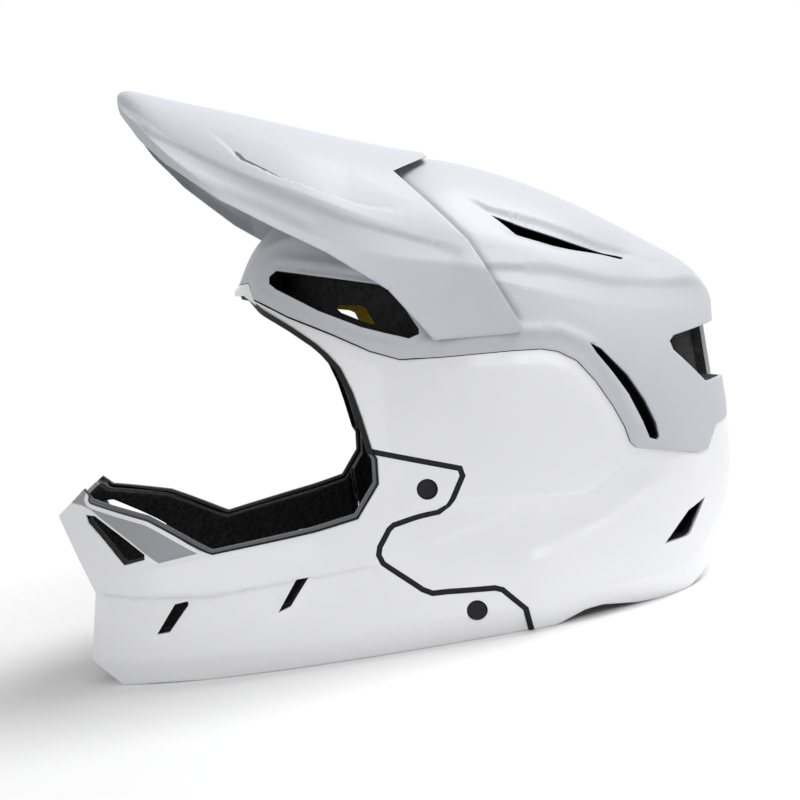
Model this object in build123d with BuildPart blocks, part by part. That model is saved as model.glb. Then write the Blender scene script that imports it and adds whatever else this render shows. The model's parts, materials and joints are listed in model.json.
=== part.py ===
from build123d import *
import os

os.makedirs("parts", exist_ok=True)

# A downhill full face helmet that faces -X and stands on its lower edge, +Z up, in millimetres.
# Every outline is seen from the side, in shares of the helmet's length from its nose
# and of its crown's height from the lower edge. Depths are measured in from the outer skin.

# Driving sizes of the shell
helmet_length = 365.0
half_width = 111.5
crown_height = 242.5
shell_wall = 2.2
shell_overrun = 60.0

# Layers behind the skin
foam_gap = 0.4
foam_depth = 27.0
liner_joint_share = 0.46
chin_foam_depth = 17.0
bare_gap = 0.3
slip_wall = 1.2
pad_thickness = 6.0
neck_flange = 12.0
chin_flange = 15.0
vent_pocket_depth = 15.0
seat_gap = 0.05

# Trims and the joint of the chin bar
trim_width = 2.6
trim_proud = 0.5
trim_depth = 4.5
gasket_gap = 0.3
gasket_width = 2.4
gasket_depth = 2.4
gasket_sink = 0.2
split_gap = 0.35
accent_proud = 0.5
accent_inset = 1.3

# Latches of the chin bar
button_diameter = 9.4
button_gap = 0.3
button_sink = 0.5
cap_thickness = 2.6
cap_chamfer = 0.5
stem_diameter = 5.0
stem_gap = 0.08
stem_reach = 10.0
button_travel = 2.0
block_top = 3.1
block_depth = 8.0
block_radius = 7.4
spring_wall = 1.0
spring_seat_gap = 0.3
socket_gap = 0.6
socket_wall = 5.0
socket_floor_top = 8.6
socket_floor = 3.0
slot_gap = 0.5

# Visor
visor_wall = 2.4
visor_gap = 1.3
pivot_x_share = 0.581
pivot_z_share = 0.676
pivot_y_share = 0.900
pivot_pin_radius = 4.0
pivot_gap = 0.08
bush_wall = 1.8
bush_length = 10.0
pin_boss_radius = 8.0

# Fit system
dial_diameter = 30.0
dial_thickness = 9.0
dial_knurls = 18
knurl_radius = 1.5
dial_shaft_radius = 3.0
shaft_gap = 0.08
housing_width = 62.0
housing_height = 26.0
housing_depth = 9.0
housing_corner = 4.0

# Sections of the head form, front to rear: x share and top z share, then six points down the
# side as (y share of the half width, z share): crown edge, shoulder, widest, lower bend,
# lower edge and flange edge.
head_row_shares = [
    (0.307, 0.773,
     (0.036, 0.771), (0.054, 0.759), (0.143, 0.474), (0.233, 0.190), (0.224, 0.058), (0.197, 0.000)),
    (0.314, 0.792,
     (0.099, 0.784), (0.135, 0.755), (0.296, 0.474), (0.448, 0.190), (0.439, 0.058), (0.395, 0.000)),
    (0.326, 0.819,
     (0.197, 0.802), (0.251, 0.759), (0.448, 0.474), (0.628, 0.190), (0.619, 0.058), (0.556, 0.000)),
    (0.353, 0.872,
     (0.341, 0.841), (0.422, 0.779), (0.628, 0.474), (0.780, 0.190), (0.771, 0.058), (0.700, 0.000)),
    (0.392, 0.913,
     (0.484, 0.862), (0.583, 0.775), (0.762, 0.474), (0.870, 0.190), (0.861, 0.058), (0.789, 0.000)),
    (0.436, 0.944,
     (0.601, 0.858), (0.700, 0.767), (0.852, 0.474), (0.910, 0.190), (0.901, 0.058), (0.830, 0.000)),
    (0.504, 0.977,
     (0.717, 0.841), (0.807, 0.759), (0.919, 0.474), (0.946, 0.202), (0.937, 0.058), (0.865, 0.000)),
    (0.578, 1.000,
     (0.794, 0.804), (0.870, 0.742), (0.964, 0.487), (0.978, 0.223), (0.969, 0.058), (0.897, 0.000)),
    (0.668, 0.969,
     (0.794, 0.755), (0.883, 0.689), (0.987, 0.474), (1.000, 0.235), (0.987, 0.058), (0.915, 0.000)),
    (0.764, 0.895,
     (0.762, 0.695), (0.848, 0.627), (0.960, 0.445), (0.960, 0.260), (0.933, 0.058), (0.852, 0.000)),
    (0.847, 0.812,
     (0.664, 0.645), (0.744, 0.586), (0.848, 0.433), (0.852, 0.280), (0.816, 0.066), (0.735, 0.000)),
    (0.907, 0.744,
     (0.520, 0.631), (0.601, 0.569), (0.680, 0.421), (0.675, 0.289), (0.625, 0.110), (0.535, 0.040)),
    (0.951, 0.693,
     (0.386, 0.627), (0.450, 0.555), (0.505, 0.420), (0.490, 0.300), (0.440, 0.175), (0.350, 0.118)),
    (0.978, 0.656,
     (0.275, 0.610), (0.315, 0.545), (0.345, 0.425), (0.325, 0.325), (0.280, 0.245), (0.205, 0.205)),
    (1.003, 0.610,
     (0.130, 0.585), (0.150, 0.535), (0.165, 0.430), (0.150, 0.360), (0.125, 0.315), (0.090, 0.295)),
]

# Sections of the chin bar's form; behind the seam they are the head form's own
face_row_shares = [
    (-0.014, 0.515,
     (0.054, 0.503), (0.090, 0.462), (0.179, 0.330), (0.233, 0.198), (0.215, 0.082), (0.161, 0.033)),
    (0.019, 0.557,
     (0.108, 0.540), (0.161, 0.487), (0.287, 0.346), (0.341, 0.194), (0.323, 0.058), (0.260, 0.000)),
    (0.079, 0.619,
     (0.233, 0.590), (0.305, 0.520), (0.448, 0.363), (0.502, 0.177), (0.484, 0.054), (0.413, 0.000)),
    (0.167, 0.709,
     (0.395, 0.668), (0.475, 0.586), (0.601, 0.392), (0.655, 0.173), (0.641, 0.054), (0.574, 0.000)),
    (0.249, 0.792,
     (0.511, 0.738), (0.601, 0.643), (0.709, 0.421), (0.762, 0.181), (0.749, 0.054), (0.677, 0.000)),
    (0.340, 0.878,
     (0.574, 0.812), (0.664, 0.713), (0.803, 0.454), (0.848, 0.190), (0.834, 0.058), (0.762, 0.000)),
] + head_row_shares[5:11]

# Sections of the visor: x share, top z share, then the inner crease, outer crease and lower edge
visor_row_shares = [
    (0.197, 1.254, (0.072, 1.245), (0.099, 1.229), (0.126, 1.204)),
    (0.216, 1.260, (0.224, 1.204), (0.287, 1.179), (0.323, 1.138)),
    (0.260, 1.231, (0.448, 1.126), (0.538, 1.080), (0.574, 1.031)),
    (0.342, 1.179, (0.673, 1.014), (0.753, 0.948), (0.798, 0.911)),
    (0.447, 1.111, (0.798, 0.920), (0.852, 0.837), (0.906, 0.775)),
    (0.504, 1.074, (0.816, 0.868), (0.886, 0.792), (0.957, 0.680)),
    (0.578, 1.030, (0.826, 0.820), (0.908, 0.756), (0.984, 0.569)),
    (0.668, 0.984, (0.828, 0.771), (0.921, 0.703), (1.008, 0.548)),
    (0.764, 0.911, (0.796, 0.711), (0.886, 0.641), (0.972, 0.528)),
]

# Side outlines
head_outline_shares = [
    (-0.10, 0.000), (0.649, 0.000), (0.690, 0.018), (0.715, 0.019), (0.764, 0.004), (0.795, 0.000),
    (0.847, 0.000), (0.874, 0.015), (0.912, 0.062), (0.948, 0.132), (0.970, 0.210), (0.986, 0.309),
    (0.989, 0.346), (0.984, 0.371), (0.986, 0.520), (1.000, 0.565), (0.985, 0.660), (0.970, 0.750),
    (0.970, 1.100), (-0.10, 1.100),
]
nose_outline_shares = [
    (0.049, 0.427), (0.000, 0.377), (0.040, 0.210), (0.011, 0.062), (0.049, 0.000),
    (0.800, 0.000), (0.800, 1.100), (0.049, 1.100),
]
chin_bar_shares = [
    (0.049, 0.427), (0.000, 0.377), (0.040, 0.210), (0.011, 0.062), (0.049, 0.000), (0.611, 0.000),
    (0.610, 0.013), (0.607, 0.047), (0.583, 0.090), (0.575, 0.095), (0.494, 0.107), (0.481, 0.119),
    (0.436, 0.186), (0.432, 0.207), (0.436, 0.225), (0.453, 0.257), (0.461, 0.264), (0.522, 0.268),
    (0.534, 0.278), (0.558, 0.333), (0.557, 0.343), (0.447, 0.407), (0.451, 0.393), (0.447, 0.349),
    (0.415, 0.294), (0.384, 0.288), (0.221, 0.272), (0.140, 0.355), (0.060, 0.404),
]
eyeport_shares = [
    (0.060, 0.404), (0.140, 0.355), (0.221, 0.272), (0.384, 0.288), (0.415, 0.294), (0.447, 0.349),
    (0.451, 0.393), (0.447, 0.407), (0.442, 0.477), (0.437, 0.528), (0.428, 0.578), (0.416, 0.608),
    (0.403, 0.633), (0.376, 0.674), (0.339, 0.724), (0.318, 0.759), (0.280, 0.775), (0.000, 0.790),
    (0.000, 0.600), (0.049, 0.427),
]
upper_shell_shares = [
    (0.280, 0.800), (0.333, 0.791), (0.336, 0.753), (0.379, 0.701), (0.433, 0.648), (0.476, 0.603),
    (0.512, 0.576), (0.563, 0.566), (0.656, 0.552), (0.695, 0.544), (0.716, 0.533), (0.738, 0.508),
    (0.757, 0.462), (0.774, 0.405), (0.784, 0.362), (0.788, 0.329), (0.797, 0.313), (0.895, 0.267),
    (0.916, 0.266), (0.926, 0.284), (0.942, 0.309), (1.050, 0.309), (1.050, 1.150), (0.280, 1.150),
]
visor_outline_shares = [
    (0.208, 1.300), (0.193, 1.241), (0.200, 1.200), (0.222, 1.134), (0.255, 1.062), (0.321, 0.957),
    (0.386, 0.878), (0.444, 0.812), (0.514, 0.715), (0.559, 0.602), (0.660, 0.586), (0.670, 0.586),
    (0.675, 0.594), (0.631, 0.784), (0.559, 0.957), (0.617, 0.985), (0.617, 1.300),
]
upper_tab_shares = [
    (0.445, 0.403), (0.557, 0.343), (0.558, 0.333), (0.534, 0.278), (0.522, 0.268), (0.445, 0.264),
]
lower_tab_shares = [
    (0.445, 0.165), (0.481, 0.119), (0.494, 0.107), (0.575, 0.095), (0.583, 0.090), (0.607, 0.047),
    (0.610, 0.030), (0.445, 0.030),
]

# Vents and slots
brow_vent_shares = [
    (0.377, 0.796), (0.366, 0.787), (0.364, 0.773), (0.372, 0.758), (0.422, 0.698), (0.472, 0.651),
    (0.529, 0.611), (0.543, 0.617), (0.544, 0.627), (0.520, 0.715), (0.511, 0.723), (0.429, 0.767),
]
brow_window_shares = [
    (0.447, 0.700), (0.454, 0.708), (0.478, 0.698), (0.486, 0.690), (0.494, 0.652), (0.486, 0.654),
    (0.452, 0.688),
]
top_vent_shares = [
    (0.677, 0.833), (0.764, 0.763), (0.855, 0.695), (0.850, 0.692), (0.752, 0.748), (0.704, 0.784),
]
side_slot_shares = [
    (0.760, 0.538), (0.775, 0.522), (0.804, 0.460), (0.821, 0.404), (0.831, 0.355), (0.832, 0.327),
    (0.828, 0.321), (0.817, 0.329), (0.811, 0.365), (0.798, 0.424), (0.781, 0.475), (0.766, 0.515),
]
rear_vent_shares = [
    (0.883, 0.506), (0.893, 0.515), (1.030, 0.524), (1.030, 0.395), (0.934, 0.404), (0.885, 0.487),
]
nape_vent_shares = [
    (0.895, 0.173), (0.856, 0.114), (0.851, 0.111), (0.813, 0.111), (0.840, 0.141), (0.860, 0.161),
]
nose_vent_shares = [
    (0.046, 0.374), (0.060, 0.370), (0.100, 0.317), (0.126, 0.282), (0.125, 0.271), (0.094, 0.265),
    (0.048, 0.356),
]
front_slot_shares = [(0.149, 0.160), (0.168, 0.163), (0.168, 0.155), (0.135, 0.106), (0.116, 0.104)]
side_chin_slot_shares = [(0.325, 0.183), (0.340, 0.180), (0.307, 0.125), (0.289, 0.117)]
accent_shares = [
    (0.049, 0.427), (0.025, 0.402), (0.042, 0.395), (0.055, 0.384), (0.081, 0.348), (0.144, 0.261),
    (0.207, 0.271), (0.140, 0.347), (0.060, 0.402),
]
brow_vent_inner_share = 0.27
top_vent_inner_share = 0.36
top_vent_outer_share = 0.85
spine_share = 0.11
nape_vent_inner_share = 0.40
nose_vent_inner_share = 0.16
chin_slot_inner_share = 0.30

# Places of the release buttons: x share, z share and the skin's y share there
button_place_shares = {
    "upper": (0.514, 0.318, 0.949),
    "lower": (0.548, 0.063, 0.958),
}

# Where the liner, the chin bar's foam, the sockets and the gasket end
socket_front_share = 0.420
liner_front_shares = [(-0.10, -0.10), (0.434, -0.10), (0.434, 0.410), (-0.10, 0.410)]
tab_side_shares = [(0.427, -0.10), (0.700, -0.10), (0.700, 0.500), (0.427, 0.500)]
gasket_zone_shares = [(0.400, 0.000), (0.700, 0.000), (0.700, 0.500), (0.400, 0.500)]

# Inside: the slip liner, the pads on it, the cheek pads and the fit dial
slip_liner_shares = [
    (0.300, 0.800), (0.440, 0.640), (0.620, 0.540), (0.780, 0.380), (0.990, 0.380), (0.990, 1.100),
    (0.300, 1.100),
]
pad_places = {
    "brow_pad": (
        [(0.300, 0.640), (0.460, 0.640), (0.460, 0.700), (0.400, 0.790), (0.300, 0.790)], 0, 1,
    ),
    "crown_pad": ([(0.500, 0.500), (0.780, 0.500), (0.780, 1.100), (0.500, 1.100)], 0, 0.15),
    "side_pads": ([(0.520, 0.560), (0.600, 0.660), (0.700, 0.640), (0.740, 0.560)], 0.35, 1),
    "nape_pad": ([(0.780, 0.400), (0.990, 0.400), (0.990, 0.500), (0.780, 0.500)], 0, 0.40),
}
cheek_pad_shares = [
    (0.470, 0.110), (0.660, 0.080), (0.690, 0.200), (0.660, 0.340), (0.510, 0.400), (0.470, 0.340),
]
cheek_face_share = 0.50
cheek_crown = 8.0
pad_base_share = 0.03
dial_x_share = 0.87
dial_z_share = 0.26

# Share of the helmet's length at which the neck opening starts to close towards the nape
neck_open_share = 0.80
neck_edge_drop = 22.0
neck_taper_share = 0.97
form_centre_share = 0.48
middle_share = 0.5


def x_at(share):
    return (share - middle_share) * helmet_length


def z_at(share):
    return share * crown_height


def y_at(share):
    return share * half_width


def towards(value, centre, reach, depth):
    return centre + (value - centre) * (1 - depth / reach)


def form(rows, depth, smooth=False, neck_open=False):
    # The left half of a lofted body that follows the skin at the given depth
    first_x = x_at(rows[0][0])
    last_x = x_at(rows[-1][0])
    centre_x = (first_x + last_x) / 2
    reach_x = (last_x - first_x) / 2
    centre_z = z_at(form_centre_share)
    sections = []
    for x_share, top_share, *side in rows:
        outline = [(0, z_at(top_share))] + [(-y_at(y), z_at(z)) for y, z in side]
        outline = [
            (towards(y, 0, half_width, depth), towards(z, centre_z, centre_z, depth)) for y, z in outline
        ]
        if neck_open and x_share < neck_open_share:
            outline[-2] = (outline[-2][0], -neck_edge_drop)
            outline[-1] = (outline[-2][0] * neck_taper_share, -neck_edge_drop - shell_wall)
        top, crown, shoulder, widest, bend, edge, flange = outline
        with BuildSketch(Plane.YZ.offset(towards(x_at(x_share), centre_x, reach_x, depth))) as section:
            with BuildLine():
                TangentArc(top, crown, tangent=(-1, 0))
                Line(crown, shoulder)
                ThreePointArc(shoulder, widest, bend)
                Line(bend, edge)
                Line(edge, flange)
                Line(flange, (0, flange[1]))
                Line((0, flange[1]), top)
            make_face()
        sections.append(section.sketch.face())
    with BuildPart() as body:
        loft(sections, ruled=not smooth)
    return body.part


def visor_form(inset, smooth=False):
    # The left half of the visor's outer shape, or of the hollow under it when inset by the wall
    sections = []
    for x_share, top_share, crease, edge, lower in visor_row_shares:
        top = (0, z_at(top_share) - inset)
        crease = (-y_at(crease[0]) + inset / 3, z_at(crease[1]) - inset)
        edge = (-y_at(edge[0]) + inset, z_at(edge[1]) - inset / 2)
        lower = (-y_at(lower[0]) + inset, z_at(lower[1]) - 3 * inset)
        with BuildSketch(Plane.YZ.offset(x_at(x_share) + inset)) as section:
            with BuildLine():
                TangentArc(top, crease, tangent=(-1, 0))
                Line(crease, edge)
                Line(edge, lower)
                Line(lower, (0, lower[1]))
                Line((0, lower[1]), top)
            make_face()
        sections.append(section.sketch.face())
    with BuildPart() as body:
        loft(sections, ruled=not smooth)
    return body.part


def side_slab(shares, near=0, far=None, grow=0):
    # A side outline on the left, between two distances from the middle plane
    with BuildPart() as slab:
        with BuildSketch(Plane.XZ.offset(near)):
            with BuildLine():
                Polyline(*[(x_at(x), z_at(z)) for x, z in shares], close=True)
            make_face()
            if grow != 0:
                offset(amount=grow, kind=Kind.INTERSECTION)
        extrude(amount=(far or far_side) - near)
    return slab.part


def layer(rows, outline_shares, depth, smooth=False):
    # The form at a depth, cut by the side outline drawn in by the same depth
    with BuildPart() as body:
        add(form(rows, depth, smooth))
        add(side_slab(outline_shares, grow=-depth), mode=Mode.INTERSECT)
    return body.part


far_side = half_width + shell_overrun
foam_top = shell_wall + foam_gap

# Vents on the left: through the shells as drawn, and as pockets in the foam
brow_vent_near = y_at(brow_vent_inner_share)
shell_vents = [
    side_slab(brow_vent_shares, brow_vent_near),
    side_slab(top_vent_shares, y_at(top_vent_inner_share), y_at(top_vent_outer_share)),
    side_slab(side_slot_shares, half_width / 2),
    side_slab(rear_vent_shares, y_at(spine_share)),
    side_slab(nape_vent_shares, y_at(nape_vent_inner_share)),
]
chin_vents = [
    side_slab(nose_vent_shares, y_at(nose_vent_inner_share)),
    side_slab(front_slot_shares, y_at(chin_slot_inner_share)),
    side_slab(side_chin_slot_shares, y_at(chin_slot_inner_share)),
]

head_skin = layer(head_row_shares, head_outline_shares, 0, smooth=True)
head_inside = layer(head_row_shares, head_outline_shares, shell_wall)
neck_hollow = form(head_row_shares, neck_flange, neck_open=True)
eyeport_cut = side_slab(eyeport_shares, grow=trim_width)
chin_zone = side_slab(chin_bar_shares, grow=gasket_gap + gasket_width)

# Pivot of the visor, a line across the helmet
pivot_x = x_at(pivot_x_share)
pivot_z = z_at(pivot_z_share)
pivot_y = y_at(pivot_y_share)
bush_radius = pivot_pin_radius + pivot_gap + bush_wall
with BuildPart() as bush_hole:
    with BuildSketch(Plane.XZ.offset(pivot_y - bush_length)):
        with Locations((pivot_x, pivot_z)):
            Circle(bush_radius + seat_gap)
    extrude(amount=far_side - pivot_y + bush_length)

# Upper shell, matt, from the brow over the crown to the spoiler
with BuildPart() as upper_shell:
    add(head_skin)
    add(side_slab(upper_shell_shares, grow=-split_gap), mode=Mode.INTERSECT)
    add([head_inside, eyeport_cut, bush_hole.part] + shell_vents[:4], mode=Mode.SUBTRACT)
    mirror(about=Plane.XZ)
upper_shell.part.label = "upper_shell"
export_step(upper_shell.part, "parts/upper_shell.step")

# Lower shell, gloss, the sides and the nape
with BuildPart() as lower_shell:
    add(head_skin)
    add(
        [side_slab(upper_shell_shares), eyeport_cut, chin_zone, head_inside, neck_hollow] + shell_vents,
        mode=Mode.SUBTRACT,
    )
    mirror(about=Plane.XZ)
lower_shell.part.label = "lower_shell"
export_step(lower_shell.part, "parts/lower_shell.step")

# Release buttons of the chin bar, one at each tab, pressed in along Y
button_spots = {
    name: (x_at(x), z_at(z), y_at(y)) for name, (x, z, y) in button_place_shares.items()
}
cap_depth = button_sink + cap_thickness
bore_depth = cap_depth + button_travel + foam_gap
stem_depth = cap_depth + stem_reach
button_hole_radius = button_diameter / 2 + button_gap
stem_hole_radius = stem_diameter / 2 + stem_gap

with BuildPart() as button_bores:
    for x, z, y in button_spots.values():
        with BuildSketch(Plane.XZ.offset(y - bore_depth)):
            with Locations((x, z)):
                Circle(button_hole_radius)
        extrude(amount=far_side - y + bore_depth)
        with BuildSketch(Plane.XZ.offset(y - bore_depth)):
            with Locations((x, z)):
                Circle(stem_hole_radius)
        extrude(amount=-stem_reach)

# Slots that let the stems out forwards when the chin bar is pulled off
slot_front = x_at(socket_front_share)
with BuildPart() as stem_slots:
    for x, z, y in button_spots.values():
        slot_end = x + stem_diameter / 2 + slot_gap
        with BuildSketch(Plane.XZ.offset(y - stem_depth - button_travel - slot_gap)):
            with Locations(((slot_end + slot_front) / 2, z)):
                Rectangle(slot_end - slot_front, stem_diameter + 2 * slot_gap)
        extrude(amount=stem_reach + cap_depth)

# Sockets behind the shell that the two tabs on each side plug into
with BuildPart() as tab_zone:
    add(side_slab(chin_bar_shares, grow=socket_gap))
    add(form(head_row_shares, socket_floor_top, neck_open=True), mode=Mode.SUBTRACT)
with BuildPart() as chin_bar_sockets:
    add([side_slab(upper_tab_shares, grow=socket_wall), side_slab(lower_tab_shares, grow=socket_wall)])
    add(form(head_row_shares, foam_top), mode=Mode.INTERSECT)
    add(
        [
            form(head_row_shares, socket_floor_top + socket_floor, neck_open=True),
            tab_zone.part,
            stem_slots.part,
            eyeport_cut,
        ],
        mode=Mode.SUBTRACT,
    )
    mirror(about=Plane.XZ)
chin_bar_sockets.part.label = "chin_bar_sockets"
export_step(chin_bar_sockets.part, "parts/chin_bar_sockets.step")

# Foam liner, with pockets behind the vents and room for the chin bar's sockets and tabs
with BuildPart() as vent_pockets:
    add(
        [
            side_slab(brow_vent_shares, brow_vent_near, grow=-split_gap),
            side_slab(side_slot_shares, half_width / 2, grow=-split_gap),
            side_slab(rear_vent_shares, y_at(spine_share), grow=-split_gap),
            side_slab(nape_vent_shares, y_at(nape_vent_inner_share), grow=-split_gap),
            shell_vents[1],
        ]
    )
    add(form(head_row_shares, vent_pocket_depth), mode=Mode.SUBTRACT)
with BuildPart() as tab_pockets:
    add(
        [
            side_slab(upper_tab_shares, grow=socket_wall + foam_gap),
            side_slab(lower_tab_shares, grow=socket_wall + foam_gap),
        ]
    )
    add(form(head_row_shares, socket_floor_top + socket_floor + foam_gap, neck_open=True), mode=Mode.SUBTRACT)
with BuildPart() as tab_relief:
    add(side_slab(chin_bar_shares, grow=socket_gap))
    add(form(head_row_shares, foam_top + foam_gap, neck_open=True), mode=Mode.SUBTRACT)
with BuildPart() as liner_form:
    add(layer(head_row_shares, head_outline_shares, foam_top))
    add(
        [
            form(head_row_shares, foam_depth, neck_open=True),
            eyeport_cut,
            side_slab(liner_front_shares),
            side_slab(brow_window_shares, brow_vent_near),
            vent_pockets.part,
            tab_pockets.part,
            tab_relief.part,
            stem_slots.part,
            bush_hole.part,
        ],
        mode=Mode.SUBTRACT,
    )

# The liner is moulded as a crown and a lower ring, which meet on a level joint
liner_joint = Plane.XY.offset(z_at(liner_joint_share))
with BuildPart() as eps_liner:
    add(liner_form.part)
    split(bisect_by=liner_joint, keep=Keep.TOP)
    mirror(about=Plane.XZ)
eps_liner.part.label = "eps_liner"
export_step(eps_liner.part, "parts/eps_liner.step")
with BuildPart() as eps_side_liner:
    add(liner_form.part)
    split(bisect_by=liner_joint, keep=Keep.BOTTOM)
    mirror(about=Plane.XZ)
eps_side_liner.part.label = "eps_side_liner"
export_step(eps_side_liner.part, "parts/eps_side_liner.step")

# Rubber trim round the eyeport of the head shell
with BuildPart() as eyeport_trim:
    add(form(head_row_shares, -trim_proud, smooth=True))
    add(eyeport_cut, mode=Mode.INTERSECT)
    add(
        [
            form(head_row_shares, trim_depth),
            side_slab(eyeport_shares),
            side_slab(chin_bar_shares, grow=gasket_gap),
        ],
        mode=Mode.SUBTRACT,
    )
    mirror(about=Plane.XZ)
eyeport_trim.part.label = "eyeport_trim"
export_step(eyeport_trim.part, "parts/eyeport_trim.step")

# Gasket on the lower shell's edge, where the chin bar meets it
with BuildPart() as seam_gasket:
    add(form(head_row_shares, gasket_sink, smooth=True))
    add(chin_zone, mode=Mode.INTERSECT)
    add(side_slab(gasket_zone_shares), mode=Mode.INTERSECT)
    add(
        [form(head_row_shares, gasket_depth), side_slab(chin_bar_shares, grow=gasket_gap), eyeport_cut],
        mode=Mode.SUBTRACT,
    )
    mirror(about=Plane.XZ)
seam_gasket.part.label = "seam_gasket"
export_step(seam_gasket.part, "parts/seam_gasket.step")

# Chin bar shell
chin_skin = layer(face_row_shares, nose_outline_shares, 0, smooth=True)
chin_inside = layer(face_row_shares, nose_outline_shares, shell_wall)
with BuildPart() as accent_zone:
    add(side_slab(accent_shares))
    add(form(face_row_shares, accent_inset, smooth=True), mode=Mode.SUBTRACT)
with BuildPart() as chin_bar_shell:
    add(chin_skin)
    add(side_slab(chin_bar_shares), mode=Mode.INTERSECT)
    add(
        [
            chin_inside,
            form(face_row_shares, chin_flange, neck_open=True),
            eyeport_cut,
            accent_zone.part,
            button_bores.part,
        ]
        + chin_vents,
        mode=Mode.SUBTRACT,
    )
    mirror(about=Plane.XZ)
chin_bar_shell.part.label = "chin_bar_shell"
export_step(chin_bar_shell.part, "parts/chin_bar_shell.step")

# Foam inside the chin bar, up to the tabs
with BuildPart() as chin_bar_foam:
    add(layer(face_row_shares, nose_outline_shares, foam_top))
    add(side_slab(chin_bar_shares), mode=Mode.INTERSECT)
    add(
        [
            form(face_row_shares, chin_foam_depth, neck_open=True),
            eyeport_cut,
            side_slab(tab_side_shares),
            side_slab(nose_vent_shares, y_at(nose_vent_inner_share)),
            side_slab(front_slot_shares, y_at(chin_slot_inner_share)),
            side_slab(side_chin_slot_shares, y_at(chin_slot_inner_share)),
        ],
        mode=Mode.SUBTRACT,
    )
    mirror(about=Plane.XZ)
chin_bar_foam.part.label = "chin_bar_foam"
export_step(chin_bar_foam.part, "parts/chin_bar_foam.step")

# Two-tone trim along the chin bar's upper edge
with BuildPart() as chin_edge_trim:
    add(form(face_row_shares, -trim_proud, smooth=True))
    add(side_slab(chin_bar_shares), mode=Mode.INTERSECT)
    add(eyeport_cut, mode=Mode.INTERSECT)
    add([form(face_row_shares, trim_depth), side_slab(accent_shares)], mode=Mode.SUBTRACT)
    mirror(about=Plane.XZ)
chin_edge_trim.part.label = "chin_edge_trim"
export_step(chin_edge_trim.part, "parts/chin_edge_trim.step")

# Grey accent panel over the nose
with BuildPart() as accent_panel:
    add(form(face_row_shares, -accent_proud, smooth=True))
    add(side_slab(accent_shares), mode=Mode.INTERSECT)
    add(
        [
            form(face_row_shares, accent_inset, smooth=True),
            side_slab(nose_vent_shares, y_at(nose_vent_inner_share)),
        ],
        mode=Mode.SUBTRACT,
    )
    mirror(about=Plane.XZ)
accent_panel.part.label = "accent_panel"
export_step(accent_panel.part, "parts/accent_panel.step")

# Latch blocks under the tabs, bored for the buttons
with BuildPart() as latch_blocks:
    for x, z, y in button_spots.values():
        with BuildSketch(Plane.XZ.offset(y - far_side / 2)):
            with Locations((x, z)):
                Circle(block_radius)
        extrude(amount=far_side)
    add(form(head_row_shares, block_top), mode=Mode.INTERSECT)
    add([form(head_row_shares, block_depth, neck_open=True), button_bores.part], mode=Mode.SUBTRACT)
    mirror(about=Plane.XZ)
latch_blocks.part.label = "latch_blocks"
export_step(latch_blocks.part, "parts/latch_blocks.step")

for place, (x, z, y) in button_spots.items():
    with BuildPart() as button:
        with BuildSketch(Plane.XZ.offset(y - cap_depth)):
            with Locations((x, z)):
                Circle(button_diameter / 2)
        extrude(amount=cap_thickness)
        chamfer(button.edges().sort_by(Axis.Y)[0], cap_chamfer)
        with BuildSketch(Plane.XZ.offset(y - cap_depth)):
            with Locations((x, z)):
                Circle(stem_diameter / 2)
        extrude(amount=-stem_reach)
        chamfer(button.edges().sort_by(Axis.Y)[-1], cap_chamfer)
    button.part.label = f"button_{place}_left"
    export_step(button.part, f"parts/button_{place}_left.step")
    with BuildPart() as other_button:
        add(mirror(button.part, about=Plane.XZ, mode=Mode.PRIVATE))
    other_button.part.label = f"button_{place}_right"
    export_step(other_button.part, f"parts/button_{place}_right.step")

# Return springs of the buttons, as sleeves of the coils' size
with BuildPart() as button_springs:
    for x, z, y in button_spots.values():
        with BuildSketch(Plane.XZ.offset(y - bore_depth + seat_gap)):
            with Locations((x, z)):
                Circle(stem_diameter / 2 + spring_seat_gap + spring_wall)
                Circle(stem_diameter / 2 + spring_seat_gap, mode=Mode.SUBTRACT)
        extrude(amount=bore_depth - cap_depth - 2 * seat_gap)
    mirror(about=Plane.XZ)
button_springs.part.label = "button_springs"
export_step(button_springs.part, "parts/button_springs.step")

# Visor, a thin moulded peak that laps over the upper shell
with BuildPart() as visor_hollow:
    add(visor_form(visor_wall))
with BuildPart() as visor:
    add(visor_form(0, smooth=True))
    add(side_slab(visor_outline_shares), mode=Mode.INTERSECT)
    add([visor_hollow.part, form(head_row_shares, -visor_gap)], mode=Mode.SUBTRACT)
    mirror(about=Plane.XZ)
visor.part.label = "visor"
export_step(visor.part, "parts/visor.step")

# Pivot pins on the visor and the bushes that carry them
with BuildPart() as visor_pins:
    with BuildSketch(Plane.XZ.offset(pivot_y - bush_length)):
        with Locations((pivot_x, pivot_z)):
            Circle(pin_boss_radius)
    extrude(amount=far_side)
    add(form(head_row_shares, -bare_gap, smooth=True), mode=Mode.SUBTRACT)
    with BuildSketch(Plane.XZ.offset(pivot_y - bush_length + foam_gap)):
        with Locations((pivot_x, pivot_z)):
            Circle(pivot_pin_radius)
    extrude(amount=far_side)
    add(visor_hollow.part, mode=Mode.INTERSECT)
    mirror(about=Plane.XZ)
visor_pins.part.label = "visor_pins"
export_step(visor_pins.part, "parts/visor_pins.step")

with BuildPart() as visor_bushes:
    with BuildSketch(Plane.XZ.offset(pivot_y - bush_length)):
        with Locations((pivot_x, pivot_z)):
            Circle(bush_radius)
            Circle(pivot_pin_radius + pivot_gap, mode=Mode.SUBTRACT)
    extrude(amount=bush_length + socket_wall)
    add(head_skin, mode=Mode.INTERSECT)
    mirror(about=Plane.XZ)
visor_bushes.part.label = "visor_bushes"
export_step(visor_bushes.part, "parts/visor_bushes.step")

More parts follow.
